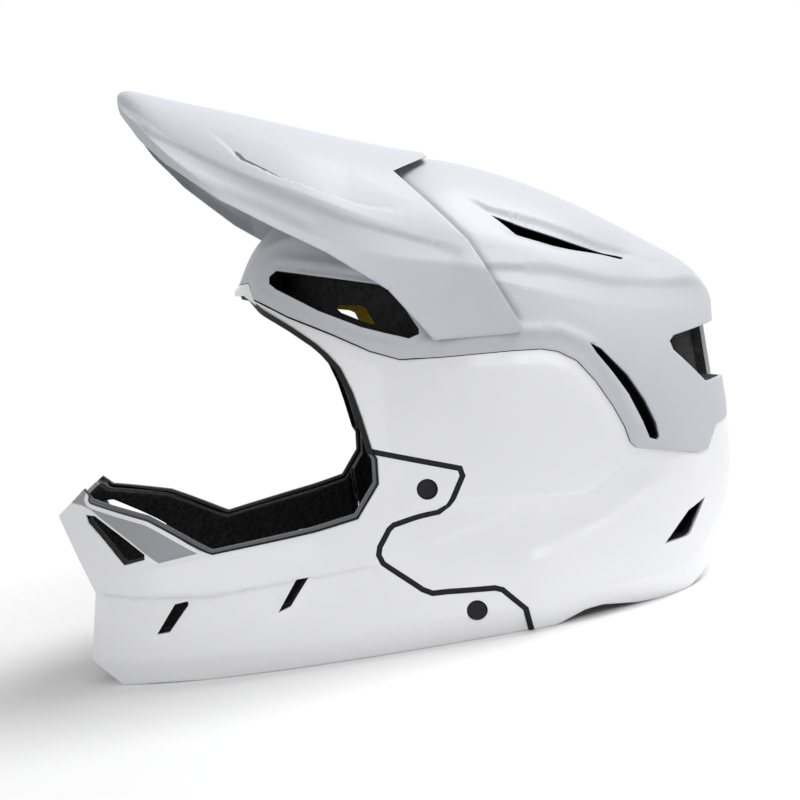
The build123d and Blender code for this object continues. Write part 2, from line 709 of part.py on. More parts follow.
# Low-friction liner over the crown, inside the foam
slip_top = foam_depth + bare_gap
slip_bottom = slip_top + slip_wall
with BuildPart() as slip_liner:
    add(form(head_row_shares, slip_top))
    add(side_slab(slip_liner_shares), mode=Mode.INTERSECT)
    add(
        [form(head_row_shares, slip_bottom), side_slab(brow_window_shares, brow_vent_near), shell_vents[1]],
        mode=Mode.SUBTRACT,
    )
    mirror(about=Plane.XZ)
slip_liner.part.label = "slip_liner"
export_step(slip_liner.part, "parts/slip_liner.step")

# Comfort pads on the liner
pad_top = slip_bottom + bare_gap
pad_layer = form(head_row_shares, pad_top)
pad_inside = form(head_row_shares, pad_top + pad_thickness)
for name, (shares, near_share, far_share) in pad_places.items():
    with BuildPart() as pad:
        add(side_slab(shares, y_at(near_share), y_at(far_share)))
        add(pad_layer, mode=Mode.INTERSECT)
        add(pad_inside, mode=Mode.SUBTRACT)
        mirror(about=Plane.XZ)
    pad.part.label = name
    export_step(pad.part, f"parts/{name}.step")

# Cheek pads, crowned towards the face, their sides drawn in
cheek_face = y_at(cheek_face_share)
with BuildPart() as cheek_pad_left:
    for near, drawn in ((0, cheek_crown), (cheek_crown, 0), (far_side / 2 - cheek_face, 0)):
        with BuildSketch(Plane.XZ.offset(cheek_face + near)):
            with BuildLine():
                Polyline(*[(x_at(x), z_at(z)) for x, z in cheek_pad_shares], close=True)
            make_face()
            if drawn:
                offset(amount=-drawn, kind=Kind.INTERSECTION)
    loft(ruled=True)
    add(form(head_row_shares, slip_top, neck_open=True), mode=Mode.INTERSECT)
    add(side_slab([(0, pad_base_share), (1, pad_base_share), (1, 1), (0, 1)]), mode=Mode.INTERSECT)
cheek_pad_left.part.label = "cheek_pad_left"
export_step(cheek_pad_left.part, "parts/cheek_pad_left.step")
with BuildPart() as cheek_pad_right:
    add(mirror(cheek_pad_left.part, about=Plane.XZ, mode=Mode.PRIVATE))
cheek_pad_right.part.label = "cheek_pad_right"
export_step(cheek_pad_right.part, "parts/cheek_pad_right.step")

# Fit dial at the nape: a housing seated on the foam, and a knurled wheel on its shaft
dial_x = x_at(dial_x_share)
dial_z = z_at(dial_z_share)
with BuildPart() as nape_space:
    add(form(head_row_shares, slip_top))
    mirror(about=Plane.XZ)
with BuildPart() as dial_housing:
    with BuildSketch(Plane.YZ.offset(dial_x)):
        with Locations((0, dial_z)):
            RectangleRounded(housing_width, housing_height, housing_corner)
    extrude(amount=foam_depth)
    with BuildSketch(Plane.YZ.offset(dial_x)):
        with Locations((0, dial_z)):
            Circle(dial_shaft_radius + shaft_gap)
    extrude(amount=housing_depth, mode=Mode.SUBTRACT)
    add(nape_space.part, mode=Mode.INTERSECT)
dial_housing.part.label = "dial_housing"
export_step(dial_housing.part, "parts/dial_housing.step")
with BuildPart() as fit_dial:
    with BuildSketch(Plane.YZ.offset(dial_x - bare_gap - dial_thickness)):
        with Locations((0, dial_z)):
            Circle(dial_diameter / 2)
            with PolarLocations(dial_diameter / 2, dial_knurls):
                Circle(knurl_radius, mode=Mode.SUBTRACT)
    extrude(amount=dial_thickness)
    with BuildSketch(Plane.YZ.offset(dial_x - bare_gap)):
        with Locations((0, dial_z)):
            Circle(dial_shaft_radius)
    extrude(amount=housing_depth)
fit_dial.part.label = "fit_dial"
export_step(fit_dial.part, "parts/fit_dial.step")
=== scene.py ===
import math

import bpy
import bmesh
import numpy as np
from mathutils import Matrix, Vector
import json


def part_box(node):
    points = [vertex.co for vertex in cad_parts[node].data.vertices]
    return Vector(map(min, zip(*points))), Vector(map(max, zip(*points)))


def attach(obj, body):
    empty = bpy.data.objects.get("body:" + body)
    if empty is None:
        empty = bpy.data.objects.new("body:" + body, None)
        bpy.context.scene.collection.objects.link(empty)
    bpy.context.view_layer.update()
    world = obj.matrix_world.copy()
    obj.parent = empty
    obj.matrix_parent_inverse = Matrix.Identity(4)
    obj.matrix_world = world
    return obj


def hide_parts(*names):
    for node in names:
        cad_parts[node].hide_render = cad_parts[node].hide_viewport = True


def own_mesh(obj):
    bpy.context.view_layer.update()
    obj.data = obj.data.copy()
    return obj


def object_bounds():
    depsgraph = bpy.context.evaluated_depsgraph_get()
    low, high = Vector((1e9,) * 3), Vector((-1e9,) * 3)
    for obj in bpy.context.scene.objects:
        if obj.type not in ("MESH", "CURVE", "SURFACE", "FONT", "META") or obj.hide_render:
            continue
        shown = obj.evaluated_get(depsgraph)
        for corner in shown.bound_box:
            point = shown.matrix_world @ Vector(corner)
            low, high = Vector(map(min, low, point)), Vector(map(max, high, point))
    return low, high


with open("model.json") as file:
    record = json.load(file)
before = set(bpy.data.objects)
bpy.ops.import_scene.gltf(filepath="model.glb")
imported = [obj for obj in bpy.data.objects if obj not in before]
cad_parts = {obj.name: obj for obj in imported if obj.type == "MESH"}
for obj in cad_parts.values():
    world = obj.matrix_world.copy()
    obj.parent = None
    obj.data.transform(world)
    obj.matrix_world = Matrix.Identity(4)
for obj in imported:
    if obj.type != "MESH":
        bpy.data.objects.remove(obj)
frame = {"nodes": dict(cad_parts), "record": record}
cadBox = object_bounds()
print("frame loaded:", len(frame["nodes"]), "nodes")
scene = bpy.context.scene
scene.view_settings.view_transform = "Standard"
mm = 0.001

# Side view: shares of the helmet's length from its nose, and of its crown's height
helmetLength = cadBox[1].x - cadBox[0].x
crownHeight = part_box("upper_shell")[1].z


def sidePoint(xShare, zShare):
    return (cadBox[0].x + xShare * helmetLength, zShare * crownHeight)


# Materials


class Wire:
    # a shader socket that can be used in an expression
    def __init__(self, tree, socket):
        self.tree = tree
        self.socket = socket

    def maths(self, operation, first, second):
        return node(self.tree, "ShaderNodeMath", {"operation": operation}, {0: first, 1: second})[0]

    def __add__(self, other):
        return self.maths("ADD", self, other)

    def __radd__(self, other):
        return self.maths("ADD", other, self)

    def __mul__(self, other):
        return self.maths("MULTIPLY", self, other)

    def __rmul__(self, other):
        return self.maths("MULTIPLY", other, self)

    def above(self, other):
        return self.maths("GREATER_THAN", self, other)


def node(tree, kind, settings, values):
    # any other node: its settings first, then the values or links of its sockets
    made = tree.nodes.new(kind)
    for name, value in settings.items():
        setattr(made, name, value)
    for name, value in values.items():
        if isinstance(value, Wire):
            tree.links.new(value.socket, made.inputs[name])
        else:
            made.inputs[name].default_value = value
    return [Wire(tree, output) for output in made.outputs]


def startMaterial(name, base, **sockets):
    material = bpy.data.materials.new(name)
    material.use_nodes = True
    tree = material.node_tree
    shader = tree.nodes["Principled BSDF"]
    shader.inputs["Base Color"].default_value = base
    for socket, value in sockets.items():
        shader.inputs[socket.replace("_", " ")].default_value = value
    place = node(tree, "ShaderNodeTexCoord", {}, {})[3]
    return material, tree, shader, place


def speckle(tree, place, scale, detail=2.0):
    return node(
        tree, "ShaderNodeTexNoise", {"noise_dimensions": "3D"},
        {"Vector": place, "Scale": scale, "Detail": detail, "Roughness": 0.55},
    )[0]


def bump(tree, shader, height, strength, distance):
    normal = node(
        tree, "ShaderNodeBump", {}, {"Height": height, "Strength": strength, "Distance": distance},
    )[0]
    tree.links.new(normal.socket, shader.inputs["Normal"])


def cells(tree, place, scale, **settings):
    return node(
        tree, "ShaderNodeTexVoronoi", {"voronoi_dimensions": "3D", **settings},
        {"Vector": place, "Scale": scale},
    )[0]


def mixed(tree, mask, low, high):
    return node(tree, "ShaderNodeMix", {"data_type": "RGBA"}, {0: mask, 6: low, 7: high})[2]


def tint(tree, shader, mask, low, high):
    tree.links.new(mixed(tree, mask, low, high).socket, shader.inputs["Base Color"])


# Bands along the eyeport's lower edge: the lip, the trim with its black line, and the white rim
lipWidth = 0.0015
trimWidth = 0.0026
rimWidth = 0.0047
blackLine = (0.006, 0.006, 0.007, 1)
dullLevel = 0.2  # specular level of foam, rubber and fabric


def edgeGap(tree):
    # distance from the lower edge of the eyeport, kept on the vertices of the pieces that lie along it
    return node(tree, "ShaderNodeAttribute", {"attribute_name": "edgeGap"}, {})[2]


mattPaint = {
    "base": (0.55, 0.575, 0.61, 1), "dark": (0.535, 0.56, 0.595, 1), "light": (0.565, 0.585, 0.62, 1),
    # the near black tone is painted shade for a gap along the visor pocket's outer wall
    "slotShade": (0.09, 0.095, 0.10, 1), "cloudScale": 9, "grainScale": 2600,
    "smooth": 0.42, "spread": 0.12, "bumpStrength": 0.05, "bumpDepth": 0.0002,
}


def mattShell():
    paint = mattPaint
    material, tree, shader, place = startMaterial(
        "mattShell", paint["base"], Roughness=0.48, Coat_Weight=0.12, Coat_Roughness=0.42,
    )
    cloudy = speckle(tree, place, paint["cloudScale"])
    grain = speckle(tree, place, paint["grainScale"], 1)
    painted = mixed(tree, cloudy, paint["dark"], paint["light"])
    # painted shade: vertices in the strip along the visor pocket's outer wall are coloured near black,
    # standing for the shadow of a gap
    inSlotShade = node(tree, "ShaderNodeAttribute", {"attribute_name": "slotShadeReach"}, {})[2]
    tint(tree, shader, inSlotShade.above(0.00001), painted, paint["slotShade"])
    rough = paint["smooth"] + grain * paint["spread"]
    tree.links.new(rough.socket, shader.inputs["Roughness"])
    bump(tree, shader, grain, paint["bumpStrength"], paint["bumpDepth"])
    return material


glossPaint = {
    "base": (0.86, 0.86, 0.875, 1), "dark": (0.85, 0.852, 0.872, 1), "light": (0.88, 0.88, 0.892, 1),
    "cloudScale": 7, "rippleScale": 60, "smooth": 0.22, "spread": 0.07,
    "bumpStrength": 0.012, "bumpDepth": 0.001,
}


def glossShell():
    paint = glossPaint
    material, tree, shader, place = startMaterial(
        "glossShell", paint["base"], Roughness=0.26, Coat_Weight=0.6, Coat_Roughness=0.08,
    )
    cloudy = speckle(tree, place, paint["cloudScale"])
    tint(tree, shader, cloudy, paint["dark"], paint["light"])
    ripple = speckle(tree, place, paint["rippleScale"], 1)
    bump(tree, shader, ripple, paint["bumpStrength"], paint["bumpDepth"])
    rough = paint["smooth"] + cloudy * paint["spread"]
    tree.links.new(rough.socket, shader.inputs["Roughness"])
    return material


beadedFoam = {
    "base": (0.01, 0.01, 0.011, 1), "dark": (0.005, 0.005, 0.006, 1), "light": (0.026, 0.025, 0.025, 1),
    "beadScale": 330.0, "dome": 6.0, "bumpStrength": 0.4, "bumpDepth": 0.0006,
}


def blackFoam():
    foam = beadedFoam
    material, tree, shader, place = startMaterial("blackFoam", foam["base"], Roughness=0.72)
    shader.inputs["Specular IOR Level"].default_value = dullLevel
    beads = cells(tree, place, foam["beadScale"], feature="DISTANCE_TO_EDGE")
    tone = cells(tree, place, foam["beadScale"])
    value = node(tree, "ShaderNodeSeparateXYZ", {}, {0: tone})[0]
    tint(tree, shader, value, foam["dark"], foam["light"])
    bump(tree, shader, beads * foam["dome"], foam["bumpStrength"], foam["bumpDepth"])
    return material


rubberGrain = {"scale": 1500, "smooth": 0.5, "spread": 0.2, "bumpStrength": 0.12, "bumpDepth": 0.0003}


def rubber(name, low, high):
    material, tree, shader, place = startMaterial(name, low, Roughness=0.6)
    shader.inputs["Specular IOR Level"].default_value = dullLevel
    grain = speckle(tree, place, rubberGrain["scale"], 2)
    tint(tree, shader, grain, low, high)
    rough = rubberGrain["smooth"] + grain * rubberGrain["spread"]
    tree.links.new(rough.socket, shader.inputs["Roughness"])
    bump(tree, shader, grain, rubberGrain["bumpStrength"], rubberGrain["bumpDepth"])
    return material


accentPaint = {
    "base": (0.33, 0.35, 0.37, 1), "dark": (0.285, 0.305, 0.325, 1), "light": (0.315, 0.335, 0.355, 1),
    "rim": (0.86, 0.86, 0.875, 1), "lip": (0.13, 0.133, 0.138, 1), "grainScale": 1900,
    "bumpStrength": 0.05, "bumpDepth": 0.0002,
}


def greyAccent():
    paint = accentPaint
    material, tree, shader, place = startMaterial(
        "greyAccent", paint["base"], Roughness=0.4, Coat_Weight=0.2, Coat_Roughness=0.3,
    )
    grain = speckle(tree, place, paint["grainScale"], 1)
    gap = edgeGap(tree)
    painted = mixed(tree, grain, paint["dark"], paint["light"])
    rim = mixed(tree, gap.above(rimWidth), paint["rim"], painted)
    line = mixed(tree, gap.above(trimWidth), blackLine, rim)
    tint(tree, shader, gap.above(lipWidth), paint["lip"], line)
    bump(tree, shader, grain, paint["bumpStrength"], paint["bumpDepth"])
    return material


trimRubber = {
    "base": (0.12, 0.123, 0.128, 1), "dark": (0.105, 0.108, 0.112, 1), "light": (0.15, 0.153, 0.158, 1),
}


def edgedRubber():
    # the trim of the chin bar: a mid grey lip with a black line against the shell
    material, tree, shader, place = startMaterial("edgedRubber", trimRubber["base"], Roughness=0.55)
    shader.inputs["Specular IOR Level"].default_value = dullLevel
    grain = speckle(tree, place, rubberGrain["scale"], 2)
    lip = mixed(tree, grain, trimRubber["dark"], trimRubber["light"])
    tint(tree, shader, edgeGap(tree).above(lipWidth), lip, blackLine)
    bump(tree, shader, grain, rubberGrain["bumpStrength"], rubberGrain["bumpDepth"])
    return material


brushedKnit = {
    "base": (0.012, 0.012, 0.014, 1), "dark": (0.006, 0.006, 0.007, 1), "light": (0.026, 0.026, 0.03, 1),
    "knitScale": 900.0, "fuzzScale": 420, "sheen": 0.25, "sheenRoughness": 0.5,
    "bumpStrength": 0.5, "bumpDepth": 0.0006,
}


def padFabric():
    cloth = brushedKnit
    material, tree, shader, place = startMaterial("padFabric", cloth["base"], Roughness=0.9)
    shader.inputs["Specular IOR Level"].default_value = dullLevel
    shader.inputs["Sheen Weight"].default_value = cloth["sheen"]
    shader.inputs["Sheen Roughness"].default_value = cloth["sheenRoughness"]
    knit = cells(tree, place, cloth["knitScale"])
    fuzz = speckle(tree, place, cloth["fuzzScale"], 3)
    tint(tree, shader, fuzz, cloth["dark"], cloth["light"])
    bump(tree, shader, knit + fuzz, cloth["bumpStrength"], cloth["bumpDepth"])
    return material


slipSheet = {
    "base": (0.80, 0.58, 0.03, 1), "dark": (0.76, 0.53, 0.02, 1), "light": (0.84, 0.63, 0.05, 1),
    "hazeScale": 300,
}


def yellowSlip():
    material, tree, shader, place = startMaterial("yellowSlip", slipSheet["base"], Roughness=0.35)
    haze = speckle(tree, place, slipSheet["hazeScale"], 2)
    tint(tree, shader, haze, slipSheet["dark"], slipSheet["light"])
    return material


drawnWire = {"base": (0.55, 0.55, 0.57, 1), "scale": 3000, "smooth": 0.24, "spread": 0.15}


def springSteel():
    material, tree, shader, place = startMaterial(
        "springSteel", drawnWire["base"], Roughness=0.3, Metallic=1.0,
    )
    drawn = speckle(tree, place, drawnWire["scale"], 1)
    rough = drawnWire["smooth"] + drawn * drawnWire["spread"]
    tree.links.new(rough.socket, shader.inputs["Roughness"])
    return material


finishes = {
    "matt_shell": mattShell(),
    "gloss_shell": glossShell(),
    "black_foam": blackFoam(),
    "black_rubber": rubber("blackRubber", (0.006, 0.006, 0.007, 1), (0.013, 0.013, 0.014, 1)),
    "grey_trim": edgedRubber(),
    "grey_accent": greyAccent(),
    "black_nylon": rubber("blackNylon", (0.016, 0.016, 0.018, 1), (0.035, 0.035, 0.038, 1)),
    "dial_plastic": rubber("dialPlastic", (0.03, 0.03, 0.033, 1), (0.055, 0.055, 0.06, 1)),
    "button_plastic": rubber("buttonPlastic", (0.008, 0.008, 0.009, 1), (0.018, 0.018, 0.02, 1)),
    "pad_fabric": padFabric(),
    "yellow_slip": yellowSlip(),
    "spring_steel": springSteel(),
}
slotOf = {entry["node"]: entry["material_slot"] for entry in frame["record"]["subparts"]}
bodyOf = {name: body for body, names in frame["record"]["behaviour"]["bodies"].items() for name in names}


def dress(piece, slotName):
    piece.data.materials.clear()
    piece.data.materials.append(finishes[slotName])


for name, piece in frame["nodes"].items():
    dress(piece, slotOf[name])
print("materials made:", len(finishes))


# Moulded edges: a merged copy of a node with its edges rounded

mergeDistance = 0.00002
sharpAngle = 40  # edges above this are rounded
smoothAngles = {"node": 30, "hard": 35, "wire": 60, "pad": 80}


def deselectAll():
    for other in bpy.context.selected_objects:
        other.select_set(False)


def activate(piece):
    deselectAll()
    bpy.context.view_layer.objects.active = piece
    piece.select_set(True)


def mergedCopy(nodeName, pieceName):
    source = frame["nodes"][nodeName]
    mesh = source.data.copy()
    piece = bpy.data.objects.new(pieceName, mesh)
    scene.collection.objects.link(piece)
    form = bmesh.new()
    form.from_mesh(mesh)
    bmesh.ops.remove_doubles(form, verts=form.verts, dist=mergeDistance)
    bmesh.ops.dissolve_degenerate(form, edges=form.edges, dist=mergeDistance)
    form.to_mesh(mesh)
    form.free()
    return piece


def applyAll(piece):
    activate(piece)
    for modifier in list(piece.modifiers):
        bpy.ops.object.modifier_apply(modifier=modifier.name)


def smooth(piece, kind):
    activate(piece)
    bpy.ops.object.shade_smooth_by_angle(angle=math.radians(smoothAngles[kind]))


def finishPiece(piece, nodeName, kind):
    smooth(piece, kind)
    dress(piece, slotOf[nodeName])
    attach(piece, bodyOf[nodeName])
    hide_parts(nodeName)


# Moulded forms: creases, ledges and rims pressed into the shells, drawn in the side view


def nearLine(x, z, line):
    # signed distance, positive below a line that runs to the rear, and the share of its length
    best = np.full(len(x), 9.0)
    sign = np.ones(len(x))
    along = np.zeros(len(x))
    run = 0.0
    for (ax, az), (bx, bz) in zip(line, line[1:]):
        dx, dz = bx - ax, bz - az
        size = math.hypot(dx, dz)
        t = np.clip(((x - ax) * dx + (z - az) * dz) / size**2, 0, 1)
        gap = np.hypot(x - ax - t * dx, z - az - t * dz)
        nearer = gap < best
        best = np.where(nearer, gap, best)
        sign = np.where(nearer, np.sign((x - ax) * dz - (z - az) * dx), sign)
        along = np.where(nearer, run + t * size, along)
        run += size
    return best * sign, along / run


def eased(value):
    value = np.clip(value, 0, 1)
    return value * value * (3 - 2 * value)


usualEnds = 0.15  # share of a fold's length in which it dies out, where the fold gives none


def foldDepth(x, z, fold):
    line = [sidePoint(*point) for point in fold["line"]]
    gap, along = nearLine(x, z, line)
    dieOut = fold.get("ends", usualEnds)
    ends = eased(np.minimum(along, 1 - along) / dieOut) if dieOut else 1
    if fold["kind"] == "bead":  # a rounded bead or groove along the line
        shape = np.exp(-((np.abs(gap) - fold.get("offset", 0)) / fold["fade"]) ** 2)
    else:  # a ledge sinks sharply below the line and comes back slowly, a shelf does so above it
        if fold["kind"] == "shelf":
            gap = -gap
        beyond = np.maximum(gap - fold["crisp"], 0)
        shape = eased(gap / fold["crisp"]) * np.exp(-(beyond / fold["fade"]) ** 2)
    return fold["depth"] * shape * ends


partingLine = [
    (0.336, 0.753), (0.379, 0.701), (0.433, 0.648), (0.476, 0.603), (0.512, 0.576), (0.563, 0.566),
    (0.656, 0.552), (0.695, 0.544), (0.716, 0.533), (0.738, 0.508), (0.757, 0.462), (0.774, 0.405),
    (0.784, 0.362), (0.788, 0.329), (0.797, 0.313), (0.895, 0.267), (0.916, 0.266), (0.926, 0.284),
    (0.942, 0.309), (1.010, 0.309),
]
eyeportEdge = [
    (0.060, 0.404), (0.140, 0.355), (0.221, 0.272), (0.384, 0.288), (0.415, 0.294), (0.447, 0.349),
    (0.451, 0.393), (0.447, 0.407),
]
sideFolds = [
    {"kind": "bead", "fade": 0.0045, "depth": 0.0006, "ends": 0, "line": partingLine},
    {"kind": "bead", "fade": 0.0020, "depth": 0.0008, "ends": 0,
     "line": [(0.149, 0.160), (0.168, 0.163), (0.168, 0.155), (0.135, 0.106), (0.116, 0.104),
      (0.149, 0.160)]},
    {"kind": "bead", "fade": 0.0020, "depth": 0.0008, "ends": 0,
     "line": [(0.325, 0.183), (0.340, 0.180), (0.307, 0.125), (0.289, 0.117), (0.325, 0.183)]},
    {"kind": "ledge", "crisp": 0.007, "fade": 0.022, "depth": 0.0032,
     "line": [(0.445, 0.289), (0.541, 0.293), (0.620, 0.276), (0.721, 0.252), (0.781, 0.301),
      (0.807, 0.363)]},
    {"kind": "ledge", "crisp": 0.004, "fade": 0.018, "depth": 0.0015,
     "line": [(0.484, 0.206), (0.581, 0.228), (0.659, 0.252)]},
    {"kind": "shelf", "crisp": 0.008, "fade": 0.018, "depth": 0.0028,
     "line": [(0.582, 0.099), (0.619, 0.120), (0.745, 0.160), (0.851, 0.227)]},
    {"kind": "ledge", "crisp": 0.0025, "fade": 0.020, "depth": 0.0024, "ends": 0.06,
     "line": [(0.034, 0.210), (0.119, 0.189), (0.207, 0.178), (0.255, 0.183), (0.368, 0.186),
      (0.440, 0.192)]},
    {"kind": "shelf", "crisp": 0.005, "fade": 0.01, "depth": -0.0011, "ends": 0.1,
     "line": [(0.048, 0.231), (0.116, 0.243), (0.241, 0.256), (0.390, 0.260)]},
]
roofFolds = [
    {"kind": "bead", "fade": 0.0022, "depth": 0.0014, "ends": 0.05,
     "line": [(0.617, 0.985), (0.559, 0.957), (0.631, 0.784), (0.675, 0.594)]},
    {"kind": "ledge", "crisp": 0.003, "fade": 0.01, "depth": 0.0018, "ends": 0.2,
     "line": [(0.632, 0.907), (0.678, 0.849), (0.745, 0.804), (0.824, 0.737), (0.862, 0.713),
      (0.938, 0.660)]},
    {"kind": "shelf", "crisp": 0.003, "fade": 0.008, "depth": 0.0016, "ends": 0.2,
     "line": [(0.670, 0.812), (0.693, 0.779), (0.756, 0.730), (0.864, 0.692), (0.911, 0.672)]},
    {"kind": "ledge", "crisp": 0.004, "fade": 0.024, "depth": 0.0014, "ends": 0.1,
     "line": [(0.610, 0.742), (0.668, 0.728), (0.737, 0.705), (0.818, 0.657), (0.919, 0.628),
      (0.988, 0.619)]},
    {"kind": "bead", "fade": 0.0032, "depth": -0.0012, "ends": 0.05,
     "line": [(0.495, 0.619), (0.567, 0.591), (0.679, 0.586), (0.725, 0.574), (0.761, 0.537),
      (0.788, 0.435), (0.802, 0.338)]},
    {"kind": "bead", "fade": 0.0042, "offset": 0.0030, "depth": -0.0018, "ends": 0,
     "line": [(0.377, 0.806), (0.360, 0.792), (0.356, 0.772), (0.366, 0.752), (0.418, 0.690),
      (0.470, 0.640), (0.529, 0.600), (0.551, 0.612), (0.551, 0.634), (0.528, 0.722), (0.515, 0.733),
      (0.432, 0.777), (0.377, 0.806)]},
]
visorFolds = [
    {"kind": "ledge", "crisp": 0.0025, "fade": 0.012, "depth": 0.0011, "ends": 0.05,
     "line": [(0.224, 1.172), (0.245, 1.136), (0.312, 1.054), (0.400, 0.954), (0.475, 0.878),
      (0.577, 0.802), (0.630, 0.762)]},
    {"kind": "bead", "fade": 0.003, "depth": -0.0007, "ends": 0.1,
     "line": [(0.226, 1.132), (0.255, 1.072), (0.319, 0.990), (0.390, 0.920), (0.444, 0.860)]},
]
# The scoop in the visor's top, seen from above: shares of the helmet's length and of its half width
visorPocket = {
    "inner": [
        (0.304, 0.420), (0.358, 0.511), (0.438, 0.579), (0.499, 0.599), (0.537, 0.682), (0.578, 0.738),
    ],
    "outer": [
        (0.304, 0.420), (0.358, 0.645), (0.403, 0.723), (0.454, 0.761), (0.500, 0.774), (0.540, 0.772),
        (0.578, 0.738),
    ],
    "floor": 0.80, "depth": 0.0040, "wall": 0.0018, "frontEnd": 0.45, "rearEnd": 0.35,
    # the entries from the inset on place a strip of painted shade along the foot of the outer wall
    "slotShadeInset": 0.0022, "slotShadeWidth": 0.0011, "slotShadeStart": 0.20, "slotShadeEnd": 0.78,
    "slotShadeOpens": 0.05, "slotShadeCloses": 0.5,
}
shellCentre = Vector((0.02, 0, 0.5 * crownHeight))
halfWidth = cadBox[1].y
foldOnset = 0.030  # distance from the middle plane at which a fold has its full depth
lengthwise = 0.35  # how far a fold presses along the helmet, against across it


def cornersOf(mesh):
    spots = np.zeros(len(mesh.vertices) * 3)
    mesh.vertices.foreach_get("co", spots)
    return spots.reshape(-1, 3)


def pressFolds(piece, folds):
    # vertices move along the line to the middle of the head; near the middle plane they stay
    mesh = piece.data
    spots = cornersOf(mesh)
    outward = spots - np.array(shellCentre)
    outward[:, 0] *= lengthwise
    outward /= np.linalg.norm(outward, axis=1)[:, None]
    depth = sum(foldDepth(spots[:, 0], spots[:, 2], fold) for fold in folds)
    depth = depth * eased(np.abs(spots[:, 1]) / foldOnset)
    mesh.vertices.foreach_set("co", (spots - outward * depth[:, None]).ravel())
    mesh.update()


def pressPocket(piece, pocket):
    # a hollow in the top face, seen from above, deepest along its outer wall
    mesh = piece.data
    spots = cornersOf(mesh)
    x, y = spots[:, 0], np.abs(spots[:, 1])
    lines = {}
    for name in ("inner", "outer"):
        line = [(sidePoint(xShare, 0)[0], yShare * halfWidth) for xShare, yShare in pocket[name]]
        lines[name] = nearLine(x, y, line)
    inside = -lines["inner"][0]
    outside = lines["outer"][0]
    across = inside / np.maximum(inside + outside, 1e-6)
    run = lines["outer"][1]
    ends = eased(run / pocket["frontEnd"]) * eased((1 - run) / pocket["rearEnd"])
    depth = pocket["depth"] * np.where(inside > 0, across, 0) * eased(outside / pocket["wall"]) * ends
    top = spots[:, 2] > pocket["floor"] * crownHeight
    spots[:, 2] -= np.where(top, depth, 0)
    mesh.vertices.foreach_set("co", spots.ravel())
    mesh.update()
    # painted shade: a dark strip along the foot of the outer wall stands for the shadow of a gap there,
    # and no opening is cut; how far a vertex lies inside it
    shadeOnset = eased((run - pocket["slotShadeStart"]) / pocket["slotShadeOpens"])
    taper = shadeOnset * eased((pocket["slotShadeEnd"] - run) / pocket["slotShadeCloses"])
    reach = pocket["slotShadeWidth"] * taper - np.abs(outside - pocket["slotShadeInset"])
    kept = mesh.attributes.new("slotShadeReach", "FLOAT", "POINT")
    kept.data.foreach_set("value", np.where(top, reach, -1))


mostTurns = 8


def refine(piece, longest, zones=()):
    # splits long edges so that a fold has vertices to bend at, more finely in the zones of the side view
    limits = []
    for (xLow, zLow), (xHigh, zHigh), finer in zones:
        limits.append((sidePoint(xLow, zLow), sidePoint(xHigh, zHigh), finer))

    def tooLong(edge):
        size = edge.calc_length()
        if size > longest:
            return True
        middle = (edge.verts[0].co + edge.verts[1].co) / 2
        for low, high, finer in limits:
            if size > finer and low[0] < middle.x < high[0] and low[1] < middle.z < high[1]:
                return True
        return False

    form = bmesh.new()
    form.from_mesh(piece.data)
    for turn in range(mostTurns):
        edges = [edge for edge in form.edges if tooLong(edge)]
        if not edges:
            break
        bmesh.ops.subdivide_edges(form, edges=edges, cuts=1)
        bmesh.ops.triangulate(form, faces=[face for face in form.faces if len(face.verts) > 3])
    form.to_mesh(piece.data)
    form.free()


def keepEdgeGap(piece):
    spots = cornersOf(piece.data)
    gap = nearLine(spots[:, 0], spots[:, 2], [sidePoint(*point) for point in eyeportEdge])[0]
    kept = piece.data.attributes.new("edgeGap", "FLOAT", "POINT")
    kept.data.foreach_set("value", np.abs(gap))


def roundEdges(piece, width):
    rounding = piece.modifiers.new("rounding", "BEVEL")
    rounding.width = width
    rounding.segments = 2
    rounding.limit_method = "ANGLE"
    rounding.angle_limit = math.radians(sharpAngle)
    rounding.use_clamp_overlap = True
    applyAll(piece)


fineSize = 0.0021
shells = {
    "upper_shell": {
        "piece": "upperShell", "edge": 0.0008, "longest": 0.0034, "folds": roofFolds,
        "zones": [((0.34, 0.57), (0.57, 0.82), fineSize), ((0.55, 0.57), (0.70, 1.00), fineSize)],
    },
    "lower_shell": {"piece": "lowerShell", "edge": 0.0007, "longest": 0.0030, "folds": sideFolds},
    "chin_bar_shell": {
        "piece": "chinBarShell", "edge": 0.0007, "longest": 0.0030, "folds": sideFolds,
        "zones": [((0.10, 0.09), (0.19, 0.18), fineSize), ((0.27, 0.10), (0.36, 0.20), fineSize)],
    },
    "visor": {
        "piece": "visorPeak", "edge": 0.0008, "longest": 0.0030, "folds": visorFolds,
        "zones": [((0.29, 0.80), (0.60, 1.25), fineSize)],
    },
    "accent_panel": {"piece": "accentPanel", "edge": 0.0003, "longest": 0.0040, "folds": sideFolds},
    "seam_gasket": {"piece": "seamGasket", "edge": 0.0003, "longest": 0.0040, "folds": sideFolds},
    "chin_edge_trim": {"piece": "chinEdgeTrim", "edge": 0.0004, "longest": 0.0040, "folds": sideFolds},
}
for nodeName, settings in shells.items():
    piece = mergedCopy(nodeName, settings["piece"])
    roundEdges(piece, settings["edge"])
    refine(piece, settings["longest"], settings.get("zones", ()))
    keepEdgeGap(piece)
    pressFolds(piece, settings["folds"])
    if nodeName == "visor":
        pressPocket(piece, visorPocket)
    finishPiece(piece, nodeName, "hard")
    print("shell", settings["piece"], len(piece.data.polygons))


# Small hard parts: edges broken as a mould or a tool leaves them

